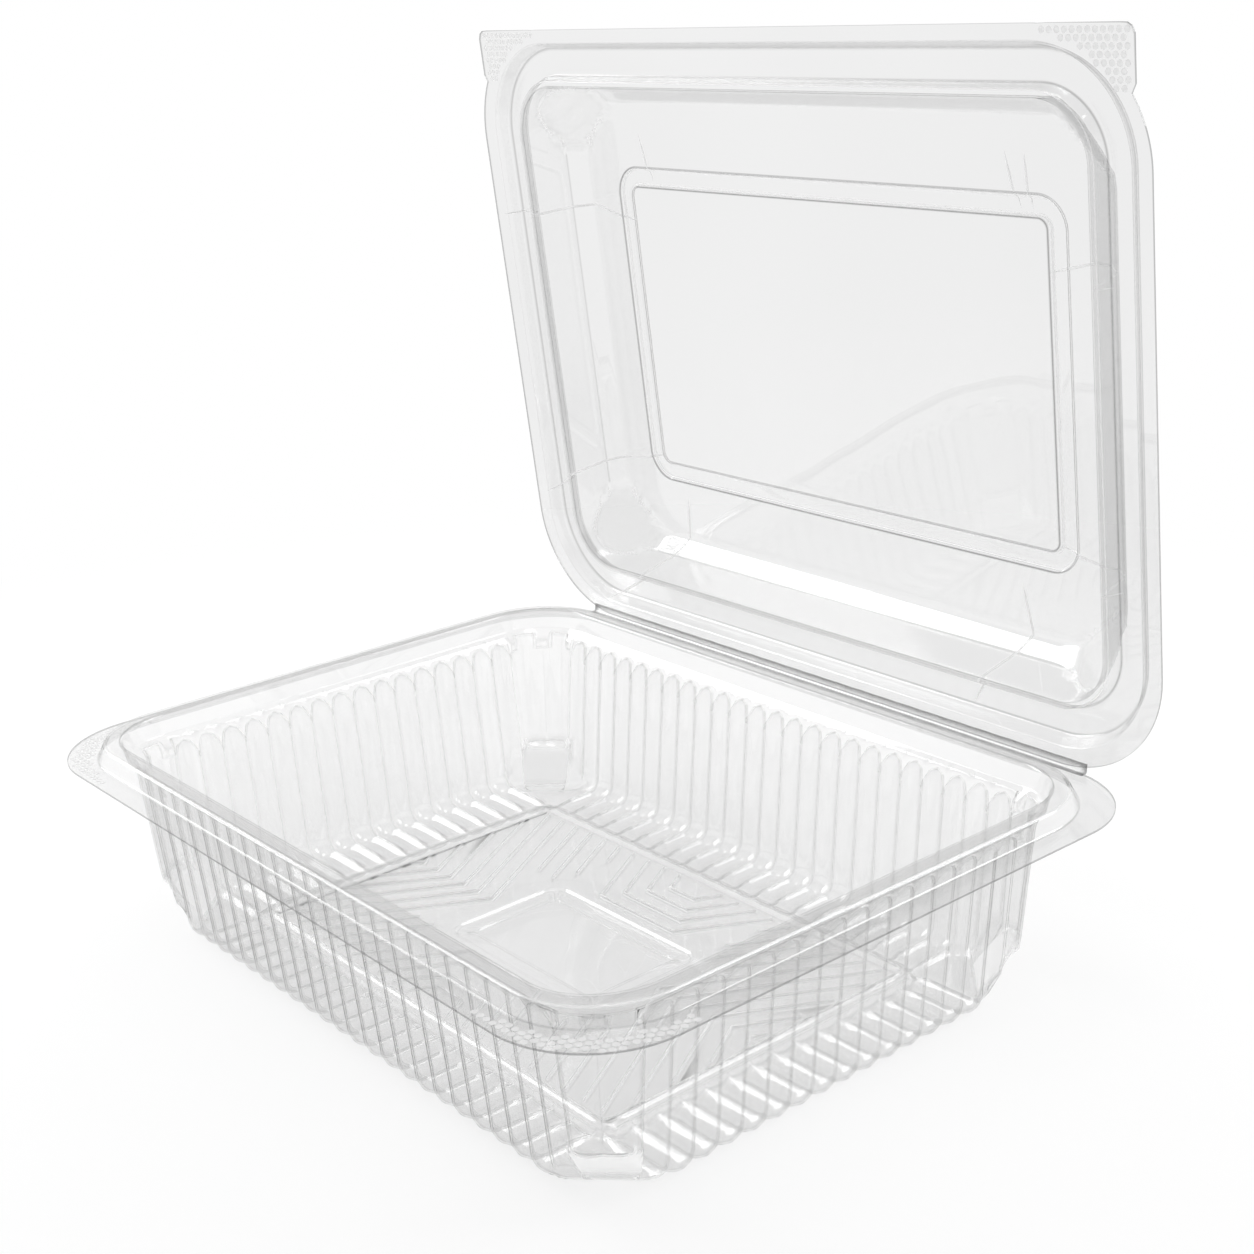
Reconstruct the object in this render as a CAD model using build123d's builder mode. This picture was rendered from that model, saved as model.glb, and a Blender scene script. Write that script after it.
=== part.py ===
# Hinged clamshell pack for food, formed from one thin clear sheet: a fluted tray and a shallow lid
# Millimetres, +Z up, X along the hinge, +Y towards the hinge, origin under the middle of the tray
import os
from math import atan2, degrees, hypot, radians, sqrt, tan

from build123d import *

os.makedirs("parts", exist_ok=True)

# Sheet and the mouth of the tray, measured at the inner top edge of its rim
sheet = 0.4
mouth_length = 168.0
mouth_width = 124.0
mouth_round = 15.0
flange_height = 40.5

# Rim of the tray
flange_reach = 10.4
flange_round = 21.0
rim_foot = 5.3
rim_shoulder = 3.7
rim_rise = 3.6
rim_drop = 0.3
band_depth = 0.9
band_lean = 1.1
collar_reach = 4.5
collar_depth = 5.6
flute_top_depth = 1.7

# Flutes of the walls and of the floor beside them
flute_depth = 1.6
long_side_flutes = 24
short_side_flutes = 16
flute_pitch = 5.82
wall_top_inset = 2.2
wall_foot_inset = 5.5
wall_foot_height = 4.2
floor_inset = 9.2
core_setback = 0.12

# Corner feet, and the slanted face above each
foot_inset = 7.6
foot_lean = 0.5
foot_cut = 12.0
foot_leg = 14.5
foot_rise = 2.0
slant_rise = 8.1
slant_run = 4.5

# Floor panel inside the flutes
panel_half_length = 61.0
panel_half_width = 41.75
panel_round = 4.5
bead_width = 3.5
bead_rise = 0.7
panel_drop = 0.8
recess_half_length = 24.0
recess_half_width = 15.3
recess_edge = 4.5

# Ribs of the floor panel
rib_width = 0.9
rib_rise = 0.5
rib_spacing = 5.3
rib_slope = 60.0
first_chevron = 28.2
chevrons = 6
short_ribs = 4
elbow_ribs = 4
first_elbow_height = 18.0
elbow_spacing = 4.5

# Lid, with its sizes given as it lies closed
flange_gap = 0.3
lid_side_reach = 10.9
lid_front_reach = 9.8
lid_round = 25.0
channel_foot = 6.6
channel_shoulder = 5.2
channel_height = 4.1
plug_top_inset = 0.9
plug_inset = 1.6
plug_width = 1.5
plug_height = 0.9
lid_join_height = 3.0
lid_wall_inset = 5.0
lid_wall_height = 11.5
lid_panel_inset = 8.6
lid_depth = 15.0
facet_cut = 9.0
facet_slope = 48.0
frame_half_length = 65.0
frame_half_width = 38.4
frame_round = 6.8
frame_width = 4.4
frame_rise = 0.8
tab_length = 21.0
tab_width = 12.0
tab_setback = 3.0
tab_round = 2.0

# Hinge
hinge_reach = 10.6
open_angle = 84.0

half_length = mouth_length / 2
half_width = mouth_width / 2
lap = 2 * sheet
hinge_y = half_width + hinge_reach
hinge_z = flange_height + flange_gap / 2


def unit(start, end):
    # direction from one point of a section to the next
    size = hypot(end[0] - start[0], end[1] - start[1])
    return (end[0] - start[0]) / size, (end[1] - start[1]) / size


def shifted(path, amount):
    # a section line moved to its left by the amount, with its corners kept sharp
    steps = [unit(a, b) for a, b in zip(path, path[1:])]
    moved = []
    for (inset, height), before, after in zip(path, steps[:1] + steps, steps + steps[-1:]):
        share = amount / (1 + before[0] * after[0] + before[1] * after[1])
        moved.append((inset - share * (before[1] + after[1]), height + share * (before[0] + after[0])))
    return moved


def crossing(start, end, height):
    # the inset at which a section line passes a height
    share = (height - start[1]) / (end[1] - start[1])
    return start[0] + share * (end[0] - start[0])


def rounded_stack(path):
    # a solid that follows the mouth, in slanted slices between the points (inset, height) of a section
    with BuildPart() as stack:
        for (inset, height), (next_inset, next_height) in zip(path, path[1:]):
            rise = next_height - height
            with BuildSketch(Plane((0, 0, height), x_dir=(1, 0, 0), z_dir=(0, 0, rise))):
                RectangleRounded(2 * (half_length - inset), 2 * (half_width - inset), mouth_round - inset)
            extrude(amount=abs(rise), taper=degrees(atan2(next_inset - inset, abs(rise))))
    return stack.part


def corner_planes(inset, height, lift, skin):
    # planes that cut the four corners off, each through the point that far inside the mouth's corner
    planes = []
    for side_x, side_y in ((1, 1), (-1, 1), (1, -1), (-1, -1)):
        out = Vector(side_x, side_y, lift).normalized()
        point = Vector(side_x * (half_length - inset), side_y * (half_width - inset), height)
        planes.append(Plane(point + out * skin, z_dir=out))
    return planes


def swept_quarter(outline):
    # a closed section, given as (inset, height), led round one quarter of the mouth
    with BuildPart() as quarter:
        with BuildLine() as route:
            corner = (half_length, half_width)
            FilletPolyline((half_length, 0), corner, (0, half_width), radius=mouth_round)
        with BuildSketch(Plane((half_length, 0, 0), x_dir=(1, 0, 0), z_dir=(0, 1, 0))):
            with BuildLine():
                Polyline([(-inset, -height) for inset, height in outline], close=True)
            make_face()
        sweep(path=route.wires()[0])
    return quarter.part


# Inside face of the tray's sheet, as (inset from the mouth, height)
rim_path = [
    (lap - flange_reach, flange_height),
    (-rim_foot, flange_height),
    (-rim_shoulder, flange_height + rim_rise - rim_drop),
    (0, flange_height + rim_rise),
    (band_lean, flange_height - band_depth),
]
band = rim_path[-2:]
crest_path = [
    (wall_top_inset, flange_height - flute_top_depth),
    (wall_foot_inset, wall_foot_height),
    (floor_inset, sheet),
    (panel_half_width, sheet),
]
core_path = shifted(crest_path, flute_depth + core_setback)
collar_path = [
    (band_lean, flange_height - band_depth),
    (collar_reach, flange_height - collar_depth),
]


def flute_line(count, pitch, skin):
    # scalloped line of a row, as (place along the row, depth behind the crest), with three facets to a flute
    radius = (pitch ** 2 / 4 + flute_depth ** 2) / (2 * flute_depth)
    facet_depth = radius - sqrt(radius ** 2 - (pitch / 6) ** 2)
    depths = (flute_depth, facet_depth, facet_depth)
    half = count * pitch / 2
    line = [(-half - skin, flute_depth)]
    line += [(index * pitch / 3 - half, depths[index % 3]) for index in range(1, 3 * count)]
    line.append((half + skin, flute_depth))
    return line


def flute_row(count, half, finger_end, skin):
    # the space inside one row of flutes along -Y, from the ledge to the end of its fingers on the floor
    line = flute_line(count, flute_pitch, skin)
    row_half = line[-1][0]
    path = shifted(crest_path, -skin)
    top = flange_height - flute_top_depth
    with BuildPart() as row:
        with BuildSketch(Plane.XY.offset(-sheet)):
            with Locations((0, -half + finger_end + skin)):
                Rectangle(2 * row_half, finger_end + 2 * skin, align=(Align.CENTER, Align.MAX))
        extrude(amount=top + sheet)
        for start, end in zip(path, path[1:]):
            run = unit(start, end)
            along = Plane((0, start[0] - half, start[1]), x_dir=(1, 0, 0), z_dir=(0, run[0], run[1]))
            with BuildSketch(along):
                with BuildLine():
                    back = [(row_half, half), (-row_half, half)]
                    Polyline([(x, -depth) for x, depth in line + back], close=True)
                make_face()
            extrude(amount=half, both=True, mode=Mode.INTERSECT)
    return row.part


def corner_outline(inset, cut, leg, skin):
    # outline of a corner foot in the corner +X +Y, with its outer corner cut off diagonally
    x = half_length - inset + skin
    y = half_width - inset + skin
    corner = cut + (2 - sqrt(2)) * skin
    reach = leg + 2 * skin
    return [(x - reach, y), (x - corner, y), (x, y - corner), (x, y - reach), (x - reach, y - reach)]


def corner_foot(skin):
    # the space inside the low flat foot of one corner
    with BuildPart() as foot:
        for rise, lean in ((0, foot_lean), (foot_rise, 0)):
            with BuildSketch(Plane.XY.offset(sheet + rise - skin)):
                with BuildLine():
                    Polyline(corner_outline(foot_inset + lean, foot_cut, foot_leg, skin), close=True)
                make_face()
        loft(ruled=True)
    return foot.part


def tray_core(skin):
    # the space inside the tray without its flutes and feet, from the band down to the floor
    band_side = shifted(band, -skin)
    path = [(crossing(band_side[0], band_side[1], flange_height), flange_height)]
    path += shifted(collar_path + core_path[1:3], -skin)
    slant = -2 * slant_run / slant_rise
    with BuildPart() as core:
        add(rounded_stack(path))
        for plane in corner_planes(foot_inset + foot_cut / 2, sheet + foot_rise, slant, skin):
            split(bisect_by=plane, keep=Keep.BOTTOM)
    return core.part


def floor_ring(half_x, half_y, radius, width, base, top):
    # an upright ring that runs along the border of the floor panel or of the lid's frame
    with BuildPart() as ring:
        with BuildSketch(Plane.XY.offset(base)):
            RectangleRounded(2 * half_x, 2 * half_y, radius)
            RectangleRounded(2 * (half_x - width), 2 * (half_y - width), radius - width, mode=Mode.SUBTRACT)
        extrude(amount=top - base)
    return ring.part


def panel_space(skin):
    # the space above the floor panel, with its deeper recess in the middle
    shelf = core_path[-1][1] - skin
    drop = shelf - panel_drop
    reach = skin - bead_width
    with BuildPart() as panel:
        with BuildSketch(Plane.XY.offset(drop)):
            RectangleRounded(2 * (panel_half_length + reach), 2 * (panel_half_width + reach), panel_round)
        extrude(amount=panel_drop + sheet)
        for half_x, half_y, height in (
            (recess_half_length - recess_edge, recess_half_width - recess_edge, sheet - skin),
            (recess_half_length, recess_half_width, drop + sheet),
        ):
            with BuildSketch(Plane.XY.offset(height)):
                RectangleRounded(2 * (half_x + skin), 2 * (half_y + skin), panel_round)
        loft(ruled=True)
    return panel.part


def tray_space(skin):
    # all of the space inside the tray, or with skin = sheet the space and its sheet
    foot = corner_foot(skin)
    side_foot = foot.mirror(Plane.YZ)
    long_row = flute_row(long_side_flutes, half_width, half_width - panel_half_width, skin)
    short_row = flute_row(short_side_flutes, half_length, half_length - panel_half_length, skin)
    pieces = [tray_core(skin), panel_space(skin)]
    for turn in (0, 180):
        pieces.append(long_row.rotate(Axis.Z, turn))
        pieces.append(short_row.rotate(Axis.Z, 90 + turn))
        pieces.append(foot.rotate(Axis.Z, turn))
        pieces.append(side_foot.rotate(Axis.Z, turn))
    bead = floor_ring(
        panel_half_length - skin,
        panel_half_width - skin,
        panel_round + bead_width / 2 - skin,
        bead_width - 2 * skin,
        -sheet,
        core_path[-1][1] + bead_rise - skin,
    )
    with BuildPart() as space:
        add(pieces)
        add(bead, mode=Mode.SUBTRACT)
    return space.part


def four_quarters(quarter):
    # a quarter in +X +Y with its three mirror images
    with BuildPart() as whole:
        add(quarter)
        mirror(about=Plane.YZ)
        mirror(about=Plane.XZ)
    return whole.part


def rib_lines():
    # middle lines of the ribs in the quarter -X +Y: chevrons, short ribs beside the recess, elbows above it
    lean = 1 / tan(radians(rib_slope))
    top = panel_half_width - bead_width - rib_width
    side = panel_half_length - bead_width - rib_width
    lines = []
    for index in range(-chevrons + 1, short_ribs + elbow_ribs + 1):
        foot = rib_spacing * index - first_chevron
        high = min(top, (side + foot) / lean)
        start = (foot - high * lean, high)
        if index <= 0:
            lines.append([start, (foot, 0)])
        elif index <= short_ribs:
            low = max(recess_half_width, (recess_half_length + foot) / lean) + rib_width
            lines.append([start, (foot - low * lean, low)])
        else:
            low = first_elbow_height + elbow_spacing * (index - short_ribs - 1)
            lines.append([start, (foot - low * lean, low), (0, low)])
    return lines


# Tray
lower_rim = shifted(rim_path, -sheet)
upper_band = (crossing(*band, flange_height), flange_height)
lower_band = (crossing(*lower_rim[-2:], flange_height), flange_height)
rim_outline = rim_path[:-1] + [upper_band, lower_band] + lower_rim[-2::-1]
ring_inner = flange_reach - lap
with BuildPart() as tray:
    add(tray_space(sheet))
    add(tray_space(0), mode=Mode.SUBTRACT)
    with BuildSketch(Plane.XY.offset(core_path[-1][1] - panel_drop - sheet / 2)):
        with BuildLine():
            for line in rib_lines():
                Polyline(line)
        trace(line_width=rib_width)
        mirror(about=Plane.YZ)
        mirror(about=Plane.XZ)
    extrude(amount=sheet / 2 + rib_rise)
    add(four_quarters(swept_quarter(rim_outline)))
    with BuildSketch(Plane.XY.offset(flange_height - sheet)):
        RectangleRounded(mouth_length + 2 * flange_reach, mouth_width + 2 * flange_reach, flange_round)
        RectangleRounded(
            mouth_length + 2 * ring_inner - sheet,
            mouth_width + 2 * ring_inner - sheet,
            mouth_round + ring_inner - sheet / 2,
            mode=Mode.SUBTRACT,
        )
    extrude(amount=sheet)
tray.part.label = "tray"
export_step(tray.part, "parts/tray.step")


# Lower face of the lid's sheet as it lies closed, as (inset from the mouth, height)
lid_base = flange_height + flange_gap
channel_path = [
    (-channel_foot - lap, lid_base),
    (-channel_foot, lid_base),
    (-channel_shoulder, flange_height + channel_height),
    (plug_top_inset, flange_height + channel_height),
    (plug_inset, flange_height + plug_height),
    (plug_inset + plug_width, flange_height + plug_height),
    (lid_wall_inset, flange_height + lid_wall_height),
]
lid_wall = channel_path[-2:]
lid_join = flange_height + lid_join_height
upper_channel = shifted(channel_path, sheet)
channel_outline = channel_path[:-1] + [(crossing(*lid_wall, lid_join), lid_join)]
channel_outline += [(crossing(*upper_channel[-2:], lid_join), lid_join)] + upper_channel[-2::-1]


def frame_ridge(skin):
    # the raised frame of the lid's top panel
    return floor_ring(
        frame_half_length - sheet + skin,
        frame_half_width - sheet + skin,
        frame_round - sheet + skin,
        frame_width - 2 * sheet + 2 * skin,
        flange_height + lid_depth - sheet,
        flange_height + lid_depth + frame_rise + skin,
    )


def lid_space(skin):
    # the space under the lid above its rim, or with skin = sheet the space and its sheet
    top = flange_height + lid_depth
    path = shifted([*lid_wall, (lid_panel_inset, top), (half_width, top)], skin)
    path[0] = (crossing(path[0], path[1], lid_join), lid_join)
    lift = sqrt(2) / tan(radians(facet_slope))
    with BuildPart() as space:
        add(rounded_stack(path[:3]))
        for plane in corner_planes(lid_panel_inset + facet_cut / 2, top, lift, skin):
            split(bisect_by=plane, keep=Keep.BOTTOM)
        add(frame_ridge(skin))
    return space.part


# Lid, made as it lies closed and then turned to the angle at which it stands open
front = -half_width - lid_front_reach
back = half_width + flange_reach
side_reach = half_length + lid_side_reach
tab_x = side_reach - tab_setback - tab_length / 2
with BuildPart() as closed_lid:
    add(lid_space(sheet))
    add(lid_space(0), mode=Mode.SUBTRACT)
    add(four_quarters(swept_quarter(channel_outline)))
    with BuildSketch(Plane.XY.offset(lid_base)):
        with Locations((0, (front + back) / 2)):
            RectangleRounded(2 * side_reach, back - front, lid_round)
        with Locations((-tab_x, front + tab_width / 2), (tab_x, front + tab_width / 2)):
            RectangleRounded(tab_length, tab_width, tab_round)
        RectangleRounded(
            mouth_length + 2 * channel_foot + sheet,
            mouth_width + 2 * channel_foot + sheet,
            mouth_round + channel_foot + sheet / 2,
            mode=Mode.SUBTRACT,
        )
    extrude(amount=sheet)
with BuildPart() as lid:
    add(closed_lid.part.rotate(Axis((0, hinge_y, hinge_z), (1, 0, 0)), -open_angle))
lid.part.label = "lid"
export_step(lid.part, "parts/lid.step")
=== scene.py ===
# Looks of the hinged clamshell pack: fluted tray, shallow lid, knurled corners and the folded hinge
from math import atan2, cos, degrees, hypot, pi, radians, sin, sqrt, tan

import bpy
import numpy as np
from mathutils import Matrix, Vector
from mathutils.geometry import delaunay_2d_cdt


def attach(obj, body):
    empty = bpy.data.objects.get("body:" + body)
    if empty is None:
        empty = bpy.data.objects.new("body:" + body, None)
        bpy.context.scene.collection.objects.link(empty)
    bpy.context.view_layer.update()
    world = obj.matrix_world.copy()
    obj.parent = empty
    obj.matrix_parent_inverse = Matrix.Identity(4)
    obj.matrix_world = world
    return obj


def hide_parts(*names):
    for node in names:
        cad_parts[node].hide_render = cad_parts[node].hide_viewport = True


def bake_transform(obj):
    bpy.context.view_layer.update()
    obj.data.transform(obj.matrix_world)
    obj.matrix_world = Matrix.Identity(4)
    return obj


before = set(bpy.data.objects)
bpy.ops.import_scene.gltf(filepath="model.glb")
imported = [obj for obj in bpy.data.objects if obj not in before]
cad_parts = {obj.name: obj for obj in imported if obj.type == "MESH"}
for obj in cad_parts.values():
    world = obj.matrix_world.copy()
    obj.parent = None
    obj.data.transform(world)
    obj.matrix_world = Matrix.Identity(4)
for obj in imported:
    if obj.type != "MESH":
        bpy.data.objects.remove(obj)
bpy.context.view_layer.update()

MM = 0.001
SKIN = 0.36

# Marks on the points of a sheet, read by its material: painted shade lines below zero, painted highlight
# lines above it
PAINTED_BORDER_SHADE = -1.9
PAINTED_SHADE_LINE = -2.0
PAINTED_HIGHLIGHT_LINE = 2.0

# Mouth of the tray and the rows of flutes
HALF = np.array([84.0, 62.0])
TRAY_OUTLINE = ((94.4, 72.4), 21.0)
TRAY_RIM = 7.2
FLANGE = 40.5
PITCH = 5.82
DEPTH = 1.6
ROW_HALF = np.array([24 * PITCH / 2, 16 * PITCH / 2])
LEDGE = 38.8
CREST_TOP = 2.2
DRAFT = 0.0941
FLOOR = 0.4
BEND = 4.2
CORNER_STEPS = 40

# Slanted face over each foot: its heights, and how far x + y reaches on it
FACET_LOW, FACET_TOP = 2.4, 10.5
FACET_REACH, FACET_RUN = 117.9, 9.0

# Floor panel
PANEL = np.array([61.0, 41.75])
PANEL_ROUND = 4.5
PANEL_FLOOR = 1.32
GRID_EDGE = np.array([57.0, 37.9])
RECESS = np.array([24.0, 15.3])
RECESS_ROUND = 4.2
BEAD_WIDTH = 3.5
RIB_HALF = 0.5
RIB_RISE = 0.75
RIB_MARGIN = 0.9

# Lid as it lies closed
LID_ROW_HALF = np.array([69.0, 47.0])
LID_CORNER_STEPS = 44
LID_RIM = 7.6
LID_FLANGE = 40.8
ROOF = 55.5
ROOF_INSET = 10.2
LID_FACET_INSET = 8.6 + 5.5
FRAME = np.array([65.0, 38.4])
FRAME_ROUND = 6.8

# Hinge
HINGE_Y = 72.6
HINGE_Z = 40.65
OPEN = radians(84)


def smooth(value, low, high):
    t = np.clip((np.asarray(value, float) - low) / (high - low), 0, 1)
    return t * t * (3 - 2 * t)


def rounded_box(x, y, half, radius):
    # signed distance to a rounded rectangle, negative inside it
    qx = np.abs(x) - (half[0] - radius)
    qy = np.abs(y) - (half[1] - radius)
    return np.hypot(np.maximum(qx, 0), np.maximum(qy, 0)) + np.minimum(np.maximum(qx, qy), 0) - radius


def rounded_line(points, radii, step=14):
    # section line with its corners rounded
    line = [points[0]]
    for before, here, after, radius in zip(points, points[1:], points[2:], radii):
        a = np.subtract(before, here)
        b = np.subtract(after, here)
        a = a / np.hypot(*a)
        b = b / np.hypot(*b)
        half_angle = np.arccos(np.clip(a @ b, -1, 1)) / 2
        reach = radius / tan(half_angle)
        centre = np.array(here) + (a + b) / np.hypot(*(a + b)) * radius / sin(half_angle)
        start = np.array(here) + a * reach - centre
        turn = pi - 2 * half_angle
        sign = 1 if start[0] * (b[1] - a[1]) - start[1] * (b[0] - a[0]) > 0 else -1
        count = max(2, int(np.ceil(degrees(turn) / step)))
        for k in range(count + 1):
            angle = sign * turn * k / count
            line.append(
                (
                    centre[0] + start[0] * cos(angle) - start[1] * sin(angle),
                    centre[1] + start[0] * sin(angle) + start[1] * cos(angle),
                )
            )
    line.append(points[-1])
    return np.array(line)


def line_marks(line, wanted):
    # a mark for each point of a section line: the wanted value where it is nearest, nothing elsewhere
    marks = np.zeros(len(line))
    for place, value in wanted:
        marks[np.argmin(np.hypot(*(line - np.array(place)).T))] = value
    return marks


def loop(row_half, sides, corner_steps):
    # points round the mouth: the mouth itself, the way out of it, the place along each straight side,
    # and the share of each corner, which is -1 on the sides
    axes = HALF - row_half
    edge, way, along, corner = [], [], [], []
    for quarter in range(4):
        side = sides[quarter % 2]
        for t in side[:-1]:
            place = t if quarter < 2 else -t
            if quarter % 2 == 0:
                sign = -1 if quarter == 0 else 1
                edge.append((place, sign * HALF[1]))
                way.append((0, sign))
            else:
                sign = 1 if quarter == 1 else -1
                edge.append((sign * HALF[0], place))
                way.append((sign, 0))
            along.append(t)
            corner.append(-1.0)
        centre = row_half * ((1, -1), (1, 1), (-1, 1), (-1, -1))[quarter]
        for k in range(corner_steps):
            angle = radians(-90 + 90 * quarter + 90 * k / corner_steps)
            out = np.array([cos(angle), sin(angle)])
            edge.append(centre + axes * out)
            way.append(out)
            along.append(0.0)
            corner.append(k / corner_steps)
    return np.array(edge), np.array(way), np.array(along), np.array(corner)


def outline_points(edge, way, inset, distance):
    # where the way out of each point meets an outline given by its signed distance
    inner = edge - way * inset
    low = np.zeros(len(edge))
    high = np.full(len(edge), 40.0)
    for _ in range(40):
        mid = (low + high) / 2
        place = inner + way * mid[:, None]
        inside = distance(place[:, 0], place[:, 1]) < 0
        low = np.where(inside, mid, low)
        high = np.where(inside, high, mid)
    return inner + way * low[:, None]


def quads(index):
    # faces between the rows of an index grid whose rows are closed loops or open runs
    a, b = index[:-1, :-1].ravel(), index[:-1, 1:].ravel()
    c, d = index[1:, 1:].ravel(), index[1:, :-1].ravel()
    return np.stack([a, b, c, d], 1)


class Surface:
    """One face of a sheet, gathered from grids and welded where they touch."""

    def __init__(self):
        self.points = []
        self.faces = []
        self.count = 0

    def add(self, points, faces):
        self.points.append(np.asarray(points, float).reshape(-1, 3))
        self.faces += [tuple(int(i) + self.count for i in face) for face in faces]
        self.count += len(self.points[-1])

    def grid(self, points, closed=False):
        rows, columns = points.shape[:2]
        index = np.arange(rows * columns).reshape(rows, columns)
        if closed:
            index = np.c_[index, index[:, 0]]
        self.add(points, quads(index))

    def welded(self):
        points = np.concatenate(self.points)
        _, first, back = np.unique(np.round(points, 3), axis=0, return_index=True, return_inverse=True)
        back = back.ravel()
        points = points[first]
        faces = []
        for face in self.faces:
            ring = []
            for i in face:
                j = int(back[i])
                if not ring or ring[-1] != j:
                    ring.append(j)
            if ring[0] == ring[-1]:
                ring.pop()
            if len(set(ring)) == len(ring) and len(ring) > 2:
                faces.append(ring)
        return points, faces


def point_normals(points, faces):
    normals = np.zeros_like(points)
    for size in set(len(face) for face in faces):
        group = np.array([face for face in faces if len(face) == size])
        corners = points[group]
        area = np.zeros((len(group), 3))
        for k in range(size):
            area += np.cross(corners[:, k], corners[:, (k + 1) % size])
        area /= np.linalg.norm(area, axis=1, keepdims=True) + 1e-12
        for k in range(size):
            a = corners[:, (k + 1) % size] - corners[:, k]
            b = corners[:, k - 1] - corners[:, k]
            scale = np.linalg.norm(a, axis=1) * np.linalg.norm(b, axis=1) + 1e-12
            angle = np.arccos(np.clip((a * b).sum(1) / scale, -1, 1))
            np.add.at(normals, group[:, k], area * angle[:, None])
    return normals / (np.linalg.norm(normals, axis=1, keepdims=True) + 1e-12)


def sheet_mesh(name, surface, skin, turn=None, sharp=38, marked=()):
    # a closed thin sheet: the surface, its copy one skin behind it, and a rim that joins their borders
    points, faces = surface.welded()
    normals = point_normals(points, faces)
    back = points - normals * skin
    total = len(points)
    every = [list(face) for face in faces] + [[i + total for i in reversed(face)] for face in faces]
    used = {}
    for face in faces:
        for a, b in zip(face, face[1:] + face[:1]):
            used[(a, b)] = used.get((a, b), 0) + 1
    border = set()
    for a, b in used:
        if (b, a) not in used:
            every.append([b, a, a + total, b + total])
            border.update((a, b, a + total, b + total))
    all_points = np.concatenate([points, back])
    # painted shade lines on the borders of the sheet; the marked points take their own painted line values
    marks = {i: PAINTED_BORDER_SHADE for i in border}
    index = {tuple(point): i for i, point in enumerate(np.round(points, 3))}
    for place, value in marked:
        i = index.get(tuple(np.round(place, 3)))
        if i is not None and value:
            marks[i] = marks[i + total] = value
    return finish_mesh(name, all_points, every, turn, sharp, marks)


def mark_bends(mesh, marks):
    # how far the sheet turns at each point, in radians: above zero over a ridge,
    # below it in a groove or at a border; the material paints highlight lines over ridges and shade lines in
    # grooves and at borders from these values
    edge_of = np.empty(len(mesh.loops), int)
    mesh.loops.foreach_get("edge_index", edge_of)
    sizes = np.empty(len(mesh.polygons), int)
    mesh.polygons.foreach_get("loop_total", sizes)
    normals = np.empty(3 * len(sizes))
    mesh.polygons.foreach_get("normal", normals)
    normals = normals.reshape(-1, 3)
    centres = np.empty(3 * len(sizes))
    mesh.polygons.foreach_get("center", centres)
    centres = centres.reshape(-1, 3)
    pairs = np.empty(2 * len(mesh.edges), int)
    mesh.edges.foreach_get("vertices", pairs)
    order = np.argsort(edge_of, kind="stable")
    edges, faces = edge_of[order], np.repeat(np.arange(len(sizes)), sizes)[order]
    same = edges[1:] == edges[:-1]
    first, second = faces[:-1][same], faces[1:][same]
    angle = np.arccos(np.clip((normals[first] * normals[second]).sum(1), -1, 1))
    over = ((centres[second] - centres[first]) * normals[first]).sum(1) < 0
    turn = np.where(over, angle, -angle)
    ends = pairs.reshape(-1, 2)[edges[1:][same]]
    order = np.argsort(np.abs(turn))
    bends = np.zeros(len(mesh.vertices))
    for k in (0, 1):
        found = np.zeros(len(bends))
        found[ends[order, k]] = turn[order]
        bends = np.where(np.abs(found) > np.abs(bends), found, bends)
    bends = np.clip(bends, -0.88, 1.1)
    # without marks every turn counts as a ridge and gets a painted highlight line; with marks, the listed
    # painted shade and highlight values replace the measured turn
    if marks is None:
        bends = 1.4 * np.abs(bends)
    else:
        bends[list(marks)] = list(marks.values())
    mesh.attributes.new("bend", "FLOAT", "POINT").data.foreach_set("value", bends.astype(np.float32))


def finish_mesh(name, points, faces, turn=None, sharp=38, marks=None):
    points = np.asarray(points, float)
    if turn is not None:
        points = turn(points)
    mesh = bpy.data.meshes.new(name)
    mesh.from_pydata((points * MM).tolist(), [], [list(map(int, face)) for face in faces])
    mesh.validate()
    mesh.update()
    mesh.shade_smooth()
    mesh.set_sharp_from_angle(angle=radians(sharp))
    mark_bends(mesh, marks)
    piece = bpy.data.objects.new(name, mesh)
    bpy.context.scene.collection.objects.link(piece)
    return piece


def opened(points):
    # from the closed lid to the lid as it stands open
    y = points[:, 1] - HINGE_Y
    z = points[:, 2] - HINGE_Z
    c, s = cos(-OPEN), sin(-OPEN)
    return np.c_[points[:, 0], HINGE_Y + y * c - z * s, HINGE_Z + y * s + z * c]


# Tray: places along the rows, denser at the cusps, with extra lines at the bead of the floor panel
parts_of_flute = (0, 0.05, 0.24, 0.5, 0.76, 0.95)
bead_lines = np.array([0.3, -0.3, -1.4, -1.9, -2.4, -2.9, -3.3, -4.0])


def row_places(count, half, border):
    places = [(k + f) * PITCH - half for k in range(count) for f in parts_of_flute] + [half]
    for line in bead_lines:
        for side in (-1, 1):
            place = side * (border + line)
            nearest = min(range(len(places)), key=lambda i: abs(places[i] - place))
            if abs(places[nearest] - place) > 0.16:
                places.append(place)
    return np.array(sorted(places))


long_places = row_places(24, ROW_HALF[0], PANEL[0])
short_places = row_places(16, ROW_HALF[1], PANEL[1])
edge, way, along, corner = loop(ROW_HALF, (long_places, short_places), CORNER_STEPS)
count = len(edge)
in_corner = corner >= 0


def scallop(place):
    # depth of the sheet behind a flute's crest: nothing in the middle, most at the cusps
    radius = (PITCH**2 / 4 + DEPTH**2) / (2 * DEPTH)
    from_middle = np.abs((place / PITCH) % 1 - 0.5) * PITCH
    return radius - np.sqrt(radius**2 - from_middle**2)


def crest_inset(z):
    return CREST_TOP + DRAFT * (LEDGE - z)


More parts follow.
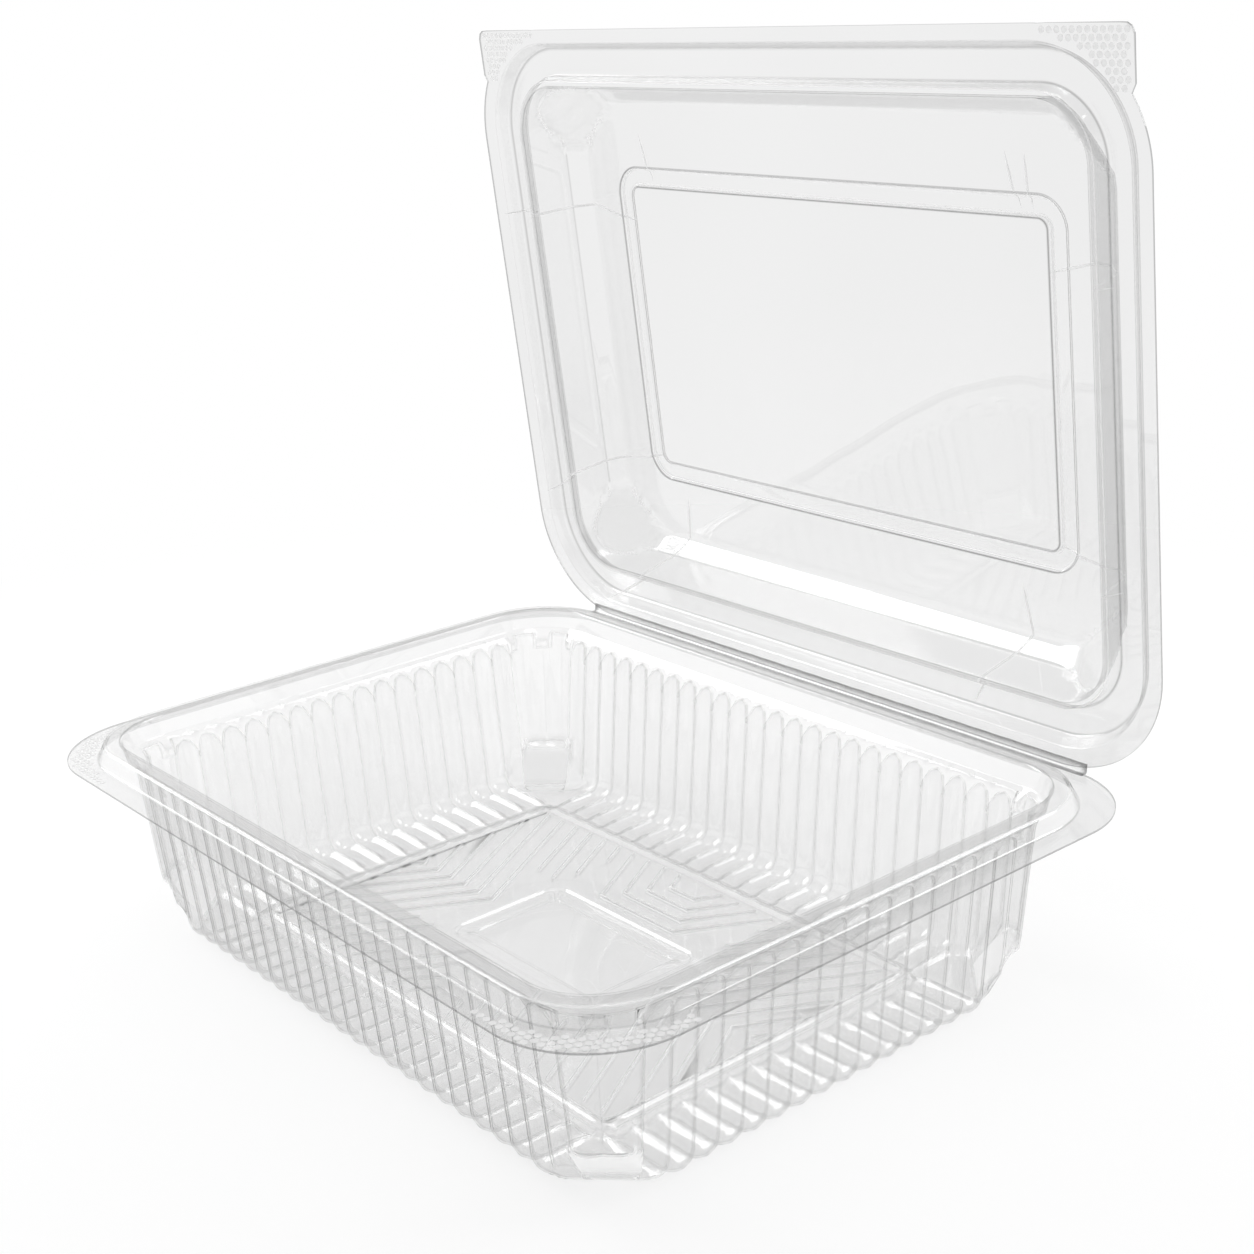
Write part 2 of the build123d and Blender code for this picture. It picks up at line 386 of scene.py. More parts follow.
def pad_mask(x, y):
    # one over the flat feet in the four corners of the floor
    return smooth(np.abs(x), 61.9, 62.9) * smooth(np.abs(y), 42.6, 43.6)


def facet_limit(z):
    # how far x + y reaches on the slanted face over each foot
    z = np.asarray(z, float)
    slant = FACET_REACH + (z - FACET_LOW) / (FACET_TOP - FACET_LOW) * FACET_RUN
    return np.where(z > FACET_LOW, slant, FACET_REACH - 0.5 + (z - FLOOR) * 0.25)


def clipped(x, y, z):
    over = np.maximum(np.abs(x) + np.abs(y) - facet_limit(z), 0) * (z < FACET_TOP)
    return x - np.sign(x) * over / 2, y - np.sign(y) * over / 2


def floor_height(x, y):
    # height of the floor outside the panel's inner border
    ax, ay = np.abs(x), np.abs(y)
    border = rounded_box(x, y, PANEL, PANEL_ROUND)
    ending = 1 - 0.55 * smooth(border, 5.0, 0.6)
    beside_long = (ay - PANEL[1]) > (ax - PANEL[0])
    flutes = np.where(beside_long, scallop(x), scallop(y))
    seam = smooth(np.abs((ay - PANEL[1]) - (ax - PANEL[0])), 0, 0.6)
    fingers = FLOOR + flutes * ending * seam
    fingers = fingers * (1 - pad_mask(x, y)) + FLOOR * pad_mask(x, y)
    shelf = 1.95
    bead_middle = -2.4
    bead = 0.85 * np.cos(np.clip(border - bead_middle, -1, 1) * pi / 2) ** 2
    slope_in = PANEL_FLOOR + (shelf - PANEL_FLOOR) * smooth(border, -3.4, bead_middle)
    middle = np.where(border > bead_middle, shelf, PANEL_FLOOR)
    inside = np.where(border < bead_middle, slope_in, middle) + bead
    share = smooth(border, 0.35, -0.35)
    return fingers * (1 - share) + inside * share


# Ring of the tray: rim, ledge, arches, flutes and bend
rim_line = rounded_line(
    [(-TRAY_RIM, FLANGE), (-5.3, FLANGE), (-3.7, 43.8), (0, 44.1), (1.1, 39.6), (2.35, LEDGE), (2.75, 37.8)],
    [0.6, 1.1, 0.8, 0.4, 0.3],
    40,
)[:-1]
rim_line = rim_line[rim_line[:, 1] >= LEDGE - 0.01]
tray_flange = outline_points(edge, way, -TRAY_RIM, lambda x, y: rounded_box(x, y, *TRAY_OUTLINE))
rows = []
for share in (1.0, 0.96, 0.5):
    place = (edge + way * TRAY_RIM) * (1 - share) + tray_flange * share
    rows.append(np.c_[place, np.full(count, FLANGE)])
# painted shade lines at the inner edge and the foot of the rim bead, a painted highlight line on its outer
# shoulder
rim_marks = line_marks(rim_line, (((-0.1, 44.0), -1.6), ((-3.6, 43.7), 1.3), ((-5.3, FLANGE), -1.3)))
tray_painted_lines = []
for (inset, z), mark in zip(rim_line, rim_marks):
    place = edge - way * inset
    rows.append(np.c_[place, np.full(count, z)])
    tray_painted_lines += [(point, mark) for point in rows[-1]]

depth = scallop(along)
wide = np.sin(np.clip(corner, 0, 1) * 2 * pi) ** 2
middle = np.exp(-(((corner - 0.5) / 0.11) ** 2))
depth = np.where(in_corner, 1.55 - 1.25 * wide ** 0.6 - 0.35 * middle, depth)


def lugs(fraction):
    # small lugs under the ledge in the corners: one beside each row and one in the middle
    side = smooth(np.abs(fraction - 0.5), 0.355, 0.385)
    centre = smooth(np.abs(fraction - 0.5), 0.125, 0.095)
    return np.maximum(side, centre)


# arches: each flute ends under a rounded top, with a tooth of the ledge pointing down between two flutes
arch = np.where(in_corner, 3.9, 0.9 + 4.4 * (depth / DEPTH) ** 1.1)
drops = [(arch * share, 0.0) for share in (0.35, 0.7, 0.9)]
drops += [(arch + 0.16 * k, 0.1 + 0.2 * k) for k in range(5)]
drops += [(arch + 0.8, 1.0)]
drops += [(arch + 0.8 + (7.0 - arch) * share, 1.0) for share in (0.2, 0.45, 0.72, 1.0)]
drops += [(np.full(count, LEDGE - z), 1.0) for z in (30.0, 27.4, 24.0, 20.0, 16.0, 13.0, 10.5)]
for drop, below in drops:
    z = LEDGE - drop
    crest = crest_inset(z)
    collar = 2.5 + 0.42 * drop
    straight = collar + (crest + depth - collar) * smooth(below, 0, 1)
    lug = lugs(corner) * smooth(z, 34.6, 35.1)
    turned = np.maximum(crest + depth * smooth(drop, -0.2, 3.0), 2.35 + (1.7 + 0.05 * drop) * lug)
    inset = np.where(in_corner, turned, straight)
    place = edge - way * inset[:, None]
    rows.append(np.c_[place, z])

slope = atan2(DRAFT, 1)
turning = pi / 2 - slope
low_corner = [(9.2, 6.1), (7.8, 6.35), (6.2, 6.6), (4.6, 6.85), (3.2, 7.05)]
low_corner += [(2.5, 7.2), (2.2, 7.55), (0.75, 7.7), (0.42, 8.0), (0.4, 8.9)]
start_inset = crest_inset(FLOOR) - BEND * tan(turning / 2) * sin(slope)
start_z = FLOOR + BEND * tan(turning / 2) * cos(slope)
arc = [(7.2, crest_inset(7.2), 0.0)]
for k in range(9):
    angle = turning * k / 8
    lean = slope + angle
    inset = start_inset + BEND * (cos(slope) - cos(lean))
    z = start_z - BEND * (sin(lean) - sin(slope))
    arc.append((z, inset, angle))
end_inset = arc[-1][1]
low_corner[-1] = (0.4, end_inset)
for k, ((z, inset, angle), (corner_z, corner_inset)) in enumerate(zip(arc, low_corner)):
    lean = slope + angle
    deep = depth * (1 - pad_mask(edge[:, 0], edge[:, 1]) * smooth(k, 1, 8))
    reach = np.where(in_corner, corner_inset, inset + deep * cos(lean))
    height = np.where(in_corner, corner_z, z + deep * sin(lean))
    place = edge - way * reach[:, None]
    x, y = clipped(place[:, 0], place[:, 1], height)
    if k == len(arc) - 1:
        height = floor_height(x, y)
    rows.append(np.c_[x, y, height])

# the slanted faces start at the last wall level, with painted highlight lines along their sides
for row in rows:
    if row[:, 2].max() <= FACET_TOP:
        over = np.abs(row[:, 0]) + np.abs(row[:, 1]) - facet_limit(row[:, 2])
        beside_facet = in_corner & (np.abs(over) < 0.45) & (row[:, 2] > 2.0)
        tray_painted_lines += [(place, 1.7) for place in row[beside_facet]]
        row[:, 0], row[:, 1] = clipped(row[:, 0], row[:, 1], row[:, 2])

tray_surface = Surface()
tray_surface.grid(np.array(rows), closed=True)
last = rows[-1]

# Floor between the bend and the rectangle of the rows' ends
starts = [0]
for quarter in range(4):
    starts.append(starts[-1] + len((long_places, short_places)[quarter % 2]) - 1 + CORNER_STEPS)
STEPS = 9
for quarter in range(4):
    side = (long_places, short_places)[quarter % 2]
    first = starts[quarter]
    ids = [(first + k) % count for k in range(len(side))]
    outer = last[ids][:, :2]
    places = side if quarter < 2 else -side
    if quarter % 2 == 0:
        inner = np.c_[places, np.full(len(side), ROW_HALF[1] * (-1 if quarter == 0 else 1))]
    else:
        inner = np.c_[np.full(len(side), ROW_HALF[0] * (1 if quarter == 1 else -1)), places]
    sheet = []
    for k in range(STEPS + 1):
        flat = outer * (1 - k / STEPS) + inner * k / STEPS
        z = floor_height(flat[:, 0], flat[:, 1])
        sheet.append(np.c_[flat, z])
    sheet[0] = last[ids]
    tray_surface.grid(np.array(sheet))
    ids = [(starts[quarter] + len(side) - 1 + k) % count for k in range(CORNER_STEPS + 1)]
    outer = last[ids][:, :2]
    centre = ROW_HALF * ((1, -1), (1, 1), (-1, 1), (-1, -1))[quarter]
    fan = []
    for k in range(STEPS + 1):
        flat = outer * (1 - k / STEPS) + centre * k / STEPS
        fan.append(np.c_[flat, floor_height(flat[:, 0], flat[:, 1])])
    fan[0] = last[ids]
    tray_surface.grid(np.array(fan))

# Floor inside that rectangle, as a grid round the panel
frame_x, frame_y = long_places, short_places
low_x, high_x = np.searchsorted(frame_x, [-GRID_EDGE[0] - 0.2, GRID_EDGE[0] + 0.2])
low_y, high_y = np.searchsorted(frame_y, [-GRID_EDGE[1] - 0.2, GRID_EDGE[1] + 0.2])


def floor_block(x_list, y_list):
    x, y = np.meshgrid(x_list, y_list)
    tray_surface.grid(np.dstack([x, y, floor_height(x, y)]))


floor_block(frame_x, frame_y[: low_y + 1])
floor_block(frame_x, frame_y[high_y - 1 :])
floor_block(frame_x[: low_x + 1], frame_y[low_y:high_y])
floor_block(frame_x[high_x - 1 :], frame_y[low_y:high_y])


# Ribs of the panel: chevrons, short ribs beside the recess and elbows above it
def rib_paths():
    lean = 1 / tan(radians(60))
    top = PANEL[1] - BEAD_WIDTH - RIB_MARGIN
    side = PANEL[0] - BEAD_WIDTH - RIB_MARGIN
    paths = []
    for index in range(-5, 9):
        foot = 5.3 * index - 28.2
        high = min(top, (side + foot) / lean)
        start = (foot - high * lean, high)
        if index <= 0:
            for sx in (1, -1):
                paths.append([(sx * start[0], start[1]), (sx * foot, 0), (sx * start[0], -start[1])])
        elif index <= 4:
            low = max(RECESS[1], (RECESS[0] + foot) / lean) + RIB_MARGIN
            for sx in (1, -1):
                for sy in (1, -1):
                    paths.append([(sx * start[0], sy * start[1]), (sx * (foot - low * lean), sy * low)])
        else:
            low = 18.0 + 4.5 * (index - 5)
            for sy in (1, -1):
                run = [(start[0], sy * start[1]), (foot - low * lean, sy * low)]
                paths.append(run + [(-x, y) for x, y in reversed(run)])
    return paths


def beside(path, amount, shorten):
    # a line beside a path, with mitred corners and drawn in at both ends
    path = np.array(path, float)
    steps = np.diff(path, axis=0)
    steps /= np.linalg.norm(steps, axis=1, keepdims=True)
    path[0] += steps[0] * shorten
    path[-1] -= steps[-1] * shorten
    moved = []
    for k, point in enumerate(path):
        a, b = steps[max(k - 1, 0)], steps[min(k, len(steps) - 1)]
        share = amount / (1 + a @ b)
        moved.append(point + share * np.array([-(a[1] + b[1]), a[0] + b[0]]))
    return np.array(moved)


def path_distance(x, y, path):
    best = np.full(np.shape(x), 1e9)
    for a, b in zip(path, path[1:]):
        run = b - a
        t = np.clip(((x - a[0]) * run[0] + (y - a[1]) * run[1]) / (run @ run), 0, 1)
        best = np.minimum(best, np.hypot(x - a[0] - t * run[0], y - a[1] - t * run[1]))
    return best


ribs = rib_paths()
cdt_points, cdt_edges = [], []


def add_line(points, closed=False):
    first = len(cdt_points)
    cdt_points.extend((float(p[0]), float(p[1])) for p in points)
    for k in range(len(points) - 1):
        cdt_edges.append((first + k, first + k + 1))
    if closed:
        cdt_edges.append((len(cdt_points) - 1, first))


xs = frame_x[low_x:high_x]
ys = frame_y[low_y:high_y]
border = [(x, ys[0]) for x in xs] + [(xs[-1], y) for y in ys[1:]]
border += [(x, ys[-1]) for x in xs[-2::-1]] + [(xs[0], y) for y in ys[-2:0:-1]]
add_line(border, closed=True)
for path in ribs:
    for amount in (0, 0.25, -0.25):
        add_line(beside(path, amount, RIB_HALF))
    right = beside(path, RIB_HALF, 0.15)
    left = beside(path, -RIB_HALF, 0.15)
    ends = beside(path, 0, 0)
    add_line([*right, ends[-1], *left[::-1], ends[0]], closed=True)
    right, left = beside(path, RIB_HALF + 0.3, 0), beside(path, -RIB_HALF - 0.3, 0)
    add_line([*right, *left[::-1]], closed=True)
recess_rings = ((-0.3, 4.4), (0, RECESS_ROUND), (0.5, 3.8), (0.8, 3.6))
recess_rings += ((3.6, 2.4), (3.9, 2.2), (4.2, 2.0), (4.5, 1.8))
for shrink, radius in recess_rings:
    half = RECESS - shrink
    ring = []
    for quarter in range(4):
        centre = (half - radius) * ((1, 1), (-1, 1), (-1, -1), (1, -1))[quarter]
        for k in range(9):
            angle = radians(90 * quarter + 90 * k / 8)
            ring.append(centre + radius * np.array([cos(angle), sin(angle)]))
    add_line(ring, closed=True)

flat, _, cdt_faces, _, _, _ = delaunay_2d_cdt([Vector(p) for p in cdt_points], cdt_edges, [], 0, 1e-4)
px = np.array([p[0] for p in flat])
py = np.array([p[1] for p in flat])
rise = np.zeros(len(px))
for path in ribs:
    line = beside(path, 0, RIB_HALF)
    distance = path_distance(px, py, line)
    rise = np.maximum(rise, RIB_RISE * np.clip(1 - (distance / RIB_HALF) ** 2, 0, 1))
inner = -rounded_box(px, py, RECESS, RECESS_ROUND)
dip = 0.45 * np.clip(inner / 0.5, 0, 1) + 0.4 * np.clip((inner - 3.9) / 0.3, 0, 1)
pz = floor_height(px, py) - dip + rise
on_border = (np.abs(px - xs[0]) < 1e-3) | (np.abs(px - xs[-1]) < 1e-3)
on_border |= (np.abs(py - ys[0]) < 1e-3) | (np.abs(py - ys[-1]) < 1e-3)
pz = np.where(on_border, floor_height(px, py), pz)
tray_surface.add(np.c_[px, py, pz], cdt_faces)

tray_piece = sheet_mesh("TraySheet", tray_surface, SKIN, marked=tray_painted_lines)

# Lid, made as it lies closed
lid_places = [np.linspace(-half, half, steps) for half, steps in zip(LID_ROW_HALF, (47, 33))]
edge, way, along, corner = loop(LID_ROW_HALF, lid_places, LID_CORNER_STEPS)
count = len(edge)


def tab_distance(x, y):
    # signed distance to the two tabs at the front corners of the lid
    return rounded_box(np.abs(x) - 81.4, y + 65.8, (10.5, 6.0), 2.0)


def lid_outline(x, y):
    return np.minimum(rounded_box(x, y - 0.3, (94.9, 72.1), 25.0), tab_distance(x, y))


lid_section = [(-LID_RIM, LID_FLANGE), (-6.6, LID_FLANGE), (-5.2, 44.6), (0.9, 44.6)]
lid_section += [(1.6, 41.4), (3.1, 41.4), (5.0, 52.0), (8.6, ROOF), (ROOF_INSET, ROOF)]
lid_line = rounded_line(lid_section, [0.6, 1.0, 0.6, 0.45, 0.5, 1.6, 1.2], 40)
lid_outer = outline_points(edge, way, -LID_RIM, lid_outline)
rows = []
for share in (1.0, 0.96, 0.7, 0.4):
    place = (edge + way * LID_RIM) * (1 - share) + lid_outer * share
    rows.append(np.c_[place, np.full(count, LID_FLANGE)])
# painted shade lines at the bead's top corners, the channel's inner corner and low on the wall, a painted
# highlight line at the channel's outer corner
marked_bends = (((-5.1, 44.5), -1.3), ((0.9, 44.5), -1.5), ((1.6, 41.4), 1.4))
marked_bends += (((3.1, 41.4), -1.4), ((5.1, 51.9), -1.0))
lid_marks = line_marks(lid_line, marked_bends)
lid_painted_lines = []
previous = None
for (inset, z), mark in zip(lid_line, lid_marks):
    length = hypot(inset - previous[0], z - previous[1]) if previous is not None else 0
    if length > 1.6:
        pieces = int(length / 0.7)
        for k in range(1, pieces):
            i = previous[0] + (inset - previous[0]) * k / pieces
            h = previous[1] + (z - previous[1]) * k / pieces
            rows.append(np.c_[edge - way * i, np.full(count, h)])
    rows.append(np.c_[edge - way * inset, np.full(count, z)])
    lid_painted_lines += [(point, mark) for point in rows[-1]]
    previous = (inset, z)


def ring_points(half, radius):
    # rounded rectangle with the same point order as the loop round the mouth
    straight = half - radius
    place = np.sign(edge) * straight + way * radius
    scaled = edge / LID_ROW_HALF * straight
    flat = np.where(np.abs(way) > 0.999, np.sign(edge) * half, scaled)
    return np.where((corner >= 0)[:, None], place, flat)


outer_ring = edge - way * ROOF_INSET
frame_ring = ring_points(FRAME, FRAME_ROUND)
for share in np.linspace(0, 1, 12)[1:-1]:
    place = outer_ring * (1 - share) + frame_ring * share
    rows.append(np.c_[place, np.full(count, ROOF)])
# frame bead rows: step, lift and painted line mark, with painted shade lines at its foot and painted
# highlight lines on its shoulders
FRAME_ROWS = ((-0.5, 0, 0), (0, 0, PAINTED_SHADE_LINE), (0.5, 0.8, PAINTED_HIGHLIGHT_LINE), (0.9, 0.92, 0), (1.3, 0.94, 0))
FRAME_ROWS += ((3.1, 0.94, 0), (3.5, 0.92, 0), (3.9, 0.8, PAINTED_HIGHLIGHT_LINE), (4.4, 0, PAINTED_SHADE_LINE), (4.9, 0, 0))
for step, lift, mark in FRAME_ROWS:
    place = ring_points(FRAME - step, max(FRAME_ROUND - step, 2.0))
    rows.append(np.c_[place, np.full(count, ROOF + lift)])
    lid_painted_lines += [(point, mark) for point in rows[-1]]
for share in (0.94, 0.6, 0.3):
    place = ring_points(FRAME - 4.9, 2.0) * share
    rows.append(np.c_[place, np.full(count, ROOF)])

# the slanted faces in the four corners of the top
lean = sqrt(2) / tan(radians(48))
out = np.array([1, 1, lean]) / sqrt(2 + lean * lean)
spot = np.array([*(HALF - LID_FACET_INSET), ROOF])
for row in rows:
    folded = np.c_[np.abs(row[:, 0]), np.abs(row[:, 1]), row[:, 2]]
    over = np.where(row[:, 2] > 44.7, np.maximum((folded - spot) @ out, 0), 0)
    folded -= over[:, None] * out
    row[:, 0] = np.sign(row[:, 0]) * folded[:, 0]
    row[:, 1] = np.sign(row[:, 1]) * folded[:, 1]
    row[:, 2] = folded[:, 2]
    # the slanted faces are painted lighter as a highlight, most at the crease where they start
    lid_painted_lines += [(place, 0.7 + 0.6 * np.exp(-2 * amount)) for place, amount in zip(row, over) if amount > 0]

lid_surface = Surface()
lid_surface.grid(np.array(rows)[:, ::-1], closed=True)
lid_surface.add(rows[-1], [list(range(count))[::-1]])
lid_piece = sheet_mesh("LidSheet", lid_surface, SKIN, opened, marked=lid_painted_lines)


# Knurled patches: low domes in staggered rows, each given by rings of (radius, lift)
DOME = ((0.68, 0.0), (0.5, 0.2), (0.24, 0.34))
DOME_SIDES = 8


def knurl(name, spots, height, rise, turn=None):
    # rise is 1 for domes that point up and -1 for domes that point down
    points, faces = [], []
    for x, y in spots:
        first = len(points)
        for radius, lift in DOME:
            for k in range(DOME_SIDES):
                angle = 2 * pi * k / DOME_SIDES
                points.append((x + radius * cos(angle), y + rise * radius * sin(angle), height + rise * lift))
        for start in (first, first + DOME_SIDES):
            for k in range(DOME_SIDES):
                a = start + k
                b = start + (k + 1) % DOME_SIDES
                faces.append([a, b, b + DOME_SIDES, a + DOME_SIDES])
        faces.append([first + 2 * DOME_SIDES + k for k in range(DOME_SIDES)])
        faces.append([first + k for k in reversed(range(DOME_SIDES))])
    # with no marks, the domes get painted highlight lines along their turns
    return finish_mesh(name, points, faces, turn, 60)


def knurl_spots(inside, low, high, pitch=1.62):
    spots = []
    for row in range(int((high[1] - low[1]) / (pitch * 0.86)) + 1):
        for column in range(int((high[0] - low[0]) / pitch) + 1):
            x = low[0] + pitch * (column + 0.5 * (row % 2))
            y = low[1] + pitch * 0.86 * row
            if inside(x, y):
                spots.append((x, y))
    return spots


def on_lid_tab(x, y):
    return tab_distance(x, y) < -0.95 and rounded_box(x, y, HALF + 8.2, 23.2) > 0


def on_tray_corner(x, y):
    return rounded_box(x, y, *TRAY_OUTLINE) < -1.0 and rounded_box(x, y, HALF + 6.9, 21.9) > 0


# the domes stand on the far sides of the two flanges, so that they clear each other when the lid is closed
SUNK = 0.03
lid_spots = knurl_spots(on_lid_tab, (70, -72), (93, -59))
lid_spots += [(-x, y) for x, y in lid_spots]
lid_knurl = knurl("LidKnurl", lid_spots, LID_FLANGE + SKIN - SUNK, 1, opened)
tray_spots = knurl_spots(on_tray_corner, (66, -73), (95, -46))
tray_spots += [(-x, y) for x, y in tray_spots]
tray_knurl = knurl("TrayKnurl", tray_spots, FLANGE - SKIN + SUNK, -1)


# Thin step lines that the forming leaves on the lid
def step_line(path):
    # a fine half-round bar laid on the inside of the lid, given by points (x, y) of the closed lid
    run = []
    for a, b in zip(path, path[1:]):
        parts = max(1, int(hypot(b[0] - a[0], b[1] - a[1]) / 1.0))
        run += [(a[0] + (b[0] - a[0]) * k / parts, a[1] + (b[1] - a[1]) * k / parts) for k in range(parts)]
    run.append(path[-1])
    turned = opened(np.array([(x, y, 20.0) for x, y in run]))
    up = opened(np.array([(0, HINGE_Y, HINGE_Z + 1.0)]))[0] - np.array([0, HINGE_Y, HINGE_Z])
    found = []
    for point in turned:
        hit, place, normal, _ = lid_piece.ray_cast(Vector(point * MM), Vector(up))
        if hit:
            found.append((np.array(place) / MM, np.array(normal)))
    points, faces = [], []
    for k, (place, normal) in enumerate(found):
        before = found[max(k - 1, 0)][0]
        after = found[min(k + 1, len(found) - 1)][0]
        forward = (after - before) / (np.linalg.norm(after - before) + 1e-9)
        across = np.cross(forward, normal)
        across /= np.linalg.norm(across) + 1e-9
        taper = min(1.0, (k + 0.4) / 4, (len(found) - k - 0.6) / 4)
        for side, lift in ((-0.32, -0.05), (-0.17, 0.15), (0.17, 0.15), (0.32, -0.05)):
            points.append(place + across * side * taper + normal * lift * taper)
    for k in range(len(found) - 1):
        for j in range(4):
            a, b = 4 * k + j, 4 * k + (j + 1) % 4
            faces.append([a, b, b + 4, a + 4])
    faces += [[3, 2, 1, 0], [4 * len(found) - 4 + j for j in range(4)]]
    return points, faces


step_paths = [
    [(-60, 118), (-58.6, 112), (-57.5, 107)],
    [(-99, 100.5), (-79, 100.5), (-65, 97)],
    [(-98, 29), (-85, 36), (-65, 39)],
    [(-57, 29), (-58, 19), (-63, 11), (-78, 3)],
    [(54.5, 29), (57, 18), (49, 5)],
    [(65, 39), (77, 37), (90, 38)],
    [(65, 95), (77, 98), (90, 97)],
    [(55, 118), (56.4, 112), (58, 107)],
    [(60, 118), (60.4, 112), (61, 107)],
]
line_points, line_faces = [], []
bpy.context.view_layer.update()
for path in step_paths:
    made, made_faces = step_line([(x * 0.93, HINGE_Y - 1.0 - u) for x, u in path])
    line_faces += [[i + len(line_points) for i in face] for face in made_faces]
    line_points += made
# the bars get painted highlight lines along their turns
lid_lines = finish_mesh("LidStepLines", line_points, line_faces, None, 50)

# Hinge: a thin web of the same sheet, folded between the two flanges
web_line = rounded_line([(70.8, 40.62), (72.45, 40.62), (72.62, 42.6)], [0.45], 12)
web_surface = Surface()
web_x = np.linspace(-77, 77, 78)
web_surface.grid(np.array([[(x, y, z + 0.03 * sin(x * 0.9)) for x in web_x] for y, z in web_line])[:, ::-1])
web_piece = sheet_mesh("HingeWeb", web_surface, 0.24)


# Materials
class Nodes:
    """Adds shader nodes to one node tree and links them."""

    def __init__(self, tree):
        self.tree = tree
        self.node = tree.nodes.new
        self.link = tree.links.new
        tree.nodes.clear()

    def feed(self, socket, source):
        # a number is set on the socket, an output is linked to it
        if isinstance(source, (int, float)):
            socket.default_value = source
        else:
            self.link(source, socket)

    def maths(self, operation, first, second):
        node = self.node("ShaderNodeMath")
        node.operation = operation
        self.feed(node.inputs[0], first)
        self.feed(node.inputs[1], second)
        return node.outputs["Value"]

    def mapped(self, source, start=0.0, end=1.0, low=0.0, high=1.0):
        node = self.node("ShaderNodeMapRange")
        for name, value in (("From Min", start), ("From Max", end), ("To Min", low), ("To Max", high)):
            node.inputs[name].default_value = value
        self.link(source, node.inputs["Value"])
        return node.outputs["Result"]

    def noise(self, scale):
        node = self.node("ShaderNodeTexNoise")
        node.inputs["Scale"].default_value = scale
        node.inputs["Detail"].default_value = 0
        self.link(self.node("ShaderNodeTexCoord").outputs["Object"], node.inputs["Vector"])
        return node.outputs["Fac"]

    def mixed_colour(self, factor, first, second, blend="MIX"):
        node = self.node("ShaderNodeMix")
        node.data_type = "RGBA"
        node.blend_type = blend
        for index, source in ((0, factor), (6, first), (7, second)):
            if isinstance(source, tuple):
                node.inputs[index].default_value = source
            else:
                self.feed(node.inputs[index], source)
        return node.outputs[2]

    def ramp(self, source, stops):
        # stops are (position, colour), from the first to the last
        node = self.node("ShaderNodeValToRGB")
        elements = node.color_ramp.elements
        for element, (position, colour) in zip(elements, (stops[0], stops[-1])):
            element.position = position
            element.color = (*colour, 1)
        for position, colour in stops[1:-1]:
            elements.new(position).color = (*colour, 1)
        self.link(source, node.inputs["Fac"])
        return node.outputs["Color"]

    def mixed_shader(self, factor, first, second):
        node = self.node("ShaderNodeMixShader")
        self.feed(node.inputs["Fac"], factor)
        self.link(first, node.inputs[1])
        self.link(second, node.inputs[2])
        return node.outputs["Shader"]


# tint of the sheet against how far it turns from the eye, as shares of the tint seen straight on; the
# darkening towards edge-on is partly the longer path through the sheet and partly painted shade for the dark
# outlines of bends and edges
TINT_AND_SHADE_BY_FACING = ((0.0, 1.0), (0.55, 0.997), (0.72, 0.993), (0.84, 0.92), (0.93, 0.6))
EDGE_SHADE_TINT = (0.22, 0.22, 0.225)


